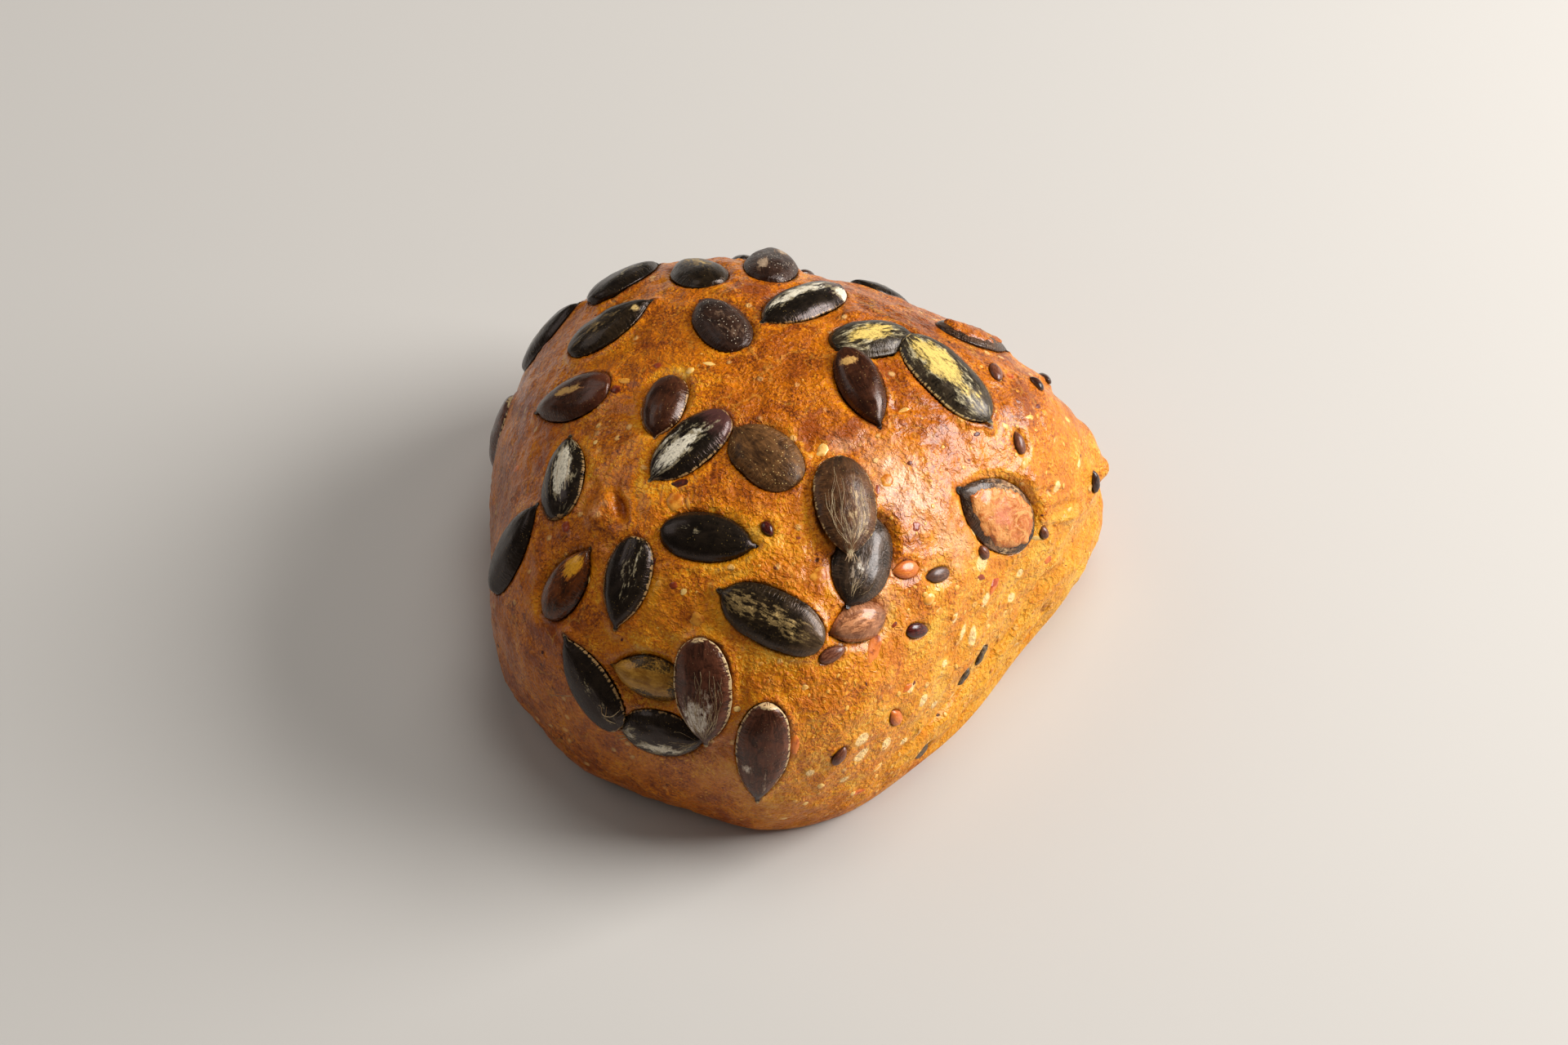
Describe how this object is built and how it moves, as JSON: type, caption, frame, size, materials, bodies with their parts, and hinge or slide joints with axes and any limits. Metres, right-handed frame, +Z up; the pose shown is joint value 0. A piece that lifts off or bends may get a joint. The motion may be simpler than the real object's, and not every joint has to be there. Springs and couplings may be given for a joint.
{
  "type": "bread roll",
  "caption": "Hand-shaped wheat roll with rounded corners, a glossy baked crust and a flat base, topped with pumpkin seeds and linseeds pressed into the crust.",
  "frame": {"origin": "the middle of the outline's bearings, on the flat base that the roll rests on", "axes": "+Z up out of the crown, +X towards the pointed corner, -Y towards the blunt front corner, in metres"},
  "size_m": [0.0911, 0.0916, 0.0479],
  "materials": {
    "crust": "satin",
    "seed_dark_skin": "satin",
    "seed_brown_skin": "satin",
    "seed_pale_skin": "satin",
    "seed_under_film": "satin",
    "linseed_skin": "gloss",
    "husk": "matte"
  },
  "bodies": {
    "root": {"husk_flake_01": "husk", "husk_flake_02": "husk", "husk_flake_03": "husk", "linseed_01": "linseed_skin", "linseed_02": "linseed_skin", "linseed_03": "linseed_skin", "linseed_04": "linseed_skin", "linseed_05": "linseed_skin", "linseed_06": "linseed_skin", "linseed_07": "linseed_skin", "linseed_08": "seed_under_film", "linseed_09": "linseed_skin", "linseed_10": "linseed_skin", "linseed_11": "linseed_skin", "linseed_12": "linseed_skin", "linseed_13": "linseed_skin", "linseed_14": "linseed_skin", "linseed_15": "linseed_skin", "linseed_16": "linseed_skin", "pumpkin_seed_01": "seed_dark_skin", "pumpkin_seed_02": "seed_dark_skin", "pumpkin_seed_03": "seed_dark_skin", "pumpkin_seed_04": "seed_brown_skin", "pumpkin_seed_05": "seed_brown_skin", "pumpkin_seed_06": "seed_dark_skin", "pumpkin_seed_07": "seed_pale_skin", "pumpkin_seed_08": "seed_pale_skin", "pumpkin_seed_09": "seed_brown_skin", "pumpkin_seed_10": "seed_under_film", "pumpkin_seed_11": "seed_brown_skin", "pumpkin_seed_12": "seed_brown_skin", "pumpkin_seed_13": "seed_dark_skin", "pumpkin_seed_14": "seed_brown_skin", "pumpkin_seed_15": "seed_dark_skin", "pumpkin_seed_16": "seed_brown_skin", "pumpkin_seed_17": "seed_dark_skin", "pumpkin_seed_18": "seed_dark_skin", "pumpkin_seed_19": "seed_dark_skin", "pumpkin_seed_20": "seed_under_film", "pumpkin_seed_21": "seed_dark_skin", "pumpkin_seed_22": "seed_dark_skin", "pumpkin_seed_23": "seed_dark_skin", "pumpkin_seed_24": "seed_pale_skin", "pumpkin_seed_25": "seed_dark_skin", "pumpkin_seed_26": "seed_brown_skin", "pumpkin_seed_27": "seed_brown_skin", "pumpkin_seed_28": "seed_under_film", "pumpkin_seed_29": "seed_under_film", "pumpkin_seed_30": "seed_dark_skin", "pumpkin_seed_31": "seed_brown_skin", "pumpkin_seed_32": "seed_dark_skin", "pumpkin_seed_33": "seed_brown_skin", "pumpkin_seed_34": "seed_dark_skin", "pumpkin_seed_35": "seed_pale_skin", "pumpkin_seed_36": "seed_dark_skin", "roll": "crust"}
  },
  "joints": []
}
